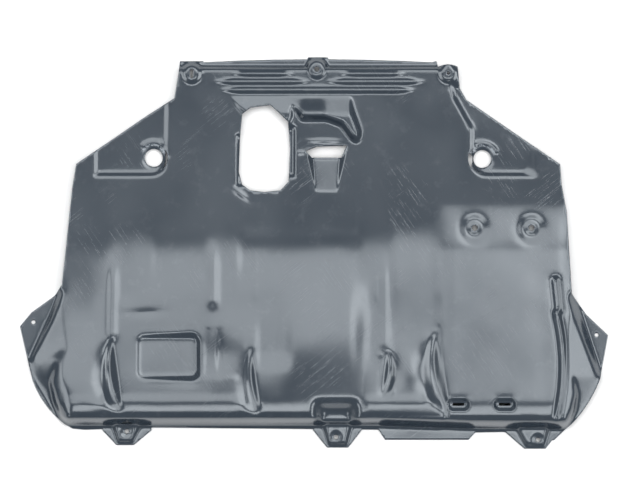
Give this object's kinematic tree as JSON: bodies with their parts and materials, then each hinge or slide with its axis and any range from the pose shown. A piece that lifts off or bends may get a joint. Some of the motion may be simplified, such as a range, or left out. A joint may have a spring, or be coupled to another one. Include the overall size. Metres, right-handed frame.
{
  "type": "engine splash shield",
  "caption": "Formed plastic undertray with a flat front lip, raised rear pan, tabs and ears for screws, and openings for service.",
  "frame": {"origin": "bottom centre of the whole sheet, on the plane that its rim lies on", "axes": "+X across the vehicle, along the longest extent; +Y towards the front lip; +Z out of the outer face, along the shortest extent"},
  "size_m": [1.058, 0.704, 0.048],
  "materials": {
    "shield_plastic": "dark blue-grey plastic with a soft sheen and fine scratches"
  },
  "bodies": {
    "root": {"splash_shield": "shield_plastic"}
  },
  "joints": []
}
